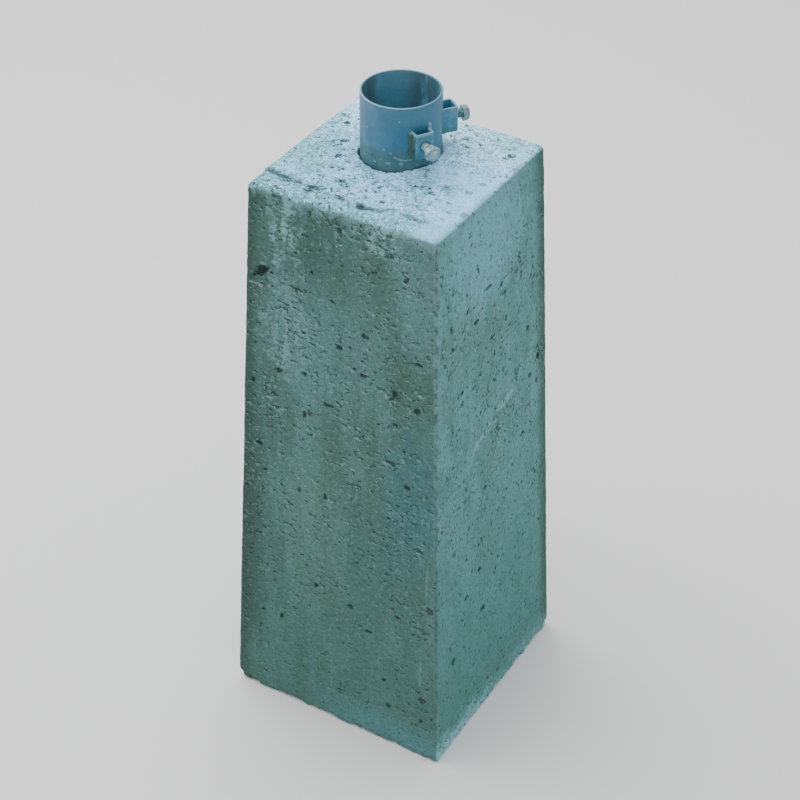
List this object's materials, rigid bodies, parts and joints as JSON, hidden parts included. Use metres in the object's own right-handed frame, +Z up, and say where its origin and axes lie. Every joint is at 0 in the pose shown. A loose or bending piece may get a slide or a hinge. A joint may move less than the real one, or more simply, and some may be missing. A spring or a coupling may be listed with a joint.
{
  "type": "precast concrete foundation block",
  "caption": "Tapered square concrete footing with a cast-in steel pipe sleeve on top; hex set bolts in welded brackets clamp a round post stood in the sleeve.",
  "frame": {"origin": "middle of the block's underside", "axes": "+Z up along the block's height; -Y is the face to the left in the picture and +X the face to the right"},
  "size_m": [0.2498, 0.2498, 0.685],
  "materials": {
    "concrete": "cast face with small air holes, trowelled on top, weathered blue-green",
    "sleeve_paint": "satin blue paint with cement haze and splashes near the concrete",
    "bracket_paint": "satin blue paint, dirty on the sheltered sides",
    "bolt_zinc": "dull zinc plating"
  },
  "bodies": {
    "block": {"concrete_block": "concrete", "post_sleeve": "sleeve_paint", "bolt_bracket_front": "bracket_paint", "bolt_bracket_right": "bracket_paint"},
    "front_bolt": {"set_bolt_front": "bolt_zinc"},
    "right_bolt": {"set_bolt_right": "bolt_zinc"}
  },
  "joints": [
    {"name": "front_bolt_screw", "type": "slide", "parent": "block", "child": "front_bolt", "axis": [0.848, -0.5299, 0], "range_m": [-0.0108, 0.01]},
    {"name": "right_bolt_screw", "type": "slide", "parent": "block", "child": "right_bolt", "axis": [0.6018, 0.7986, 0], "range_m": [-0.006, 0.0135]}
  ]
}
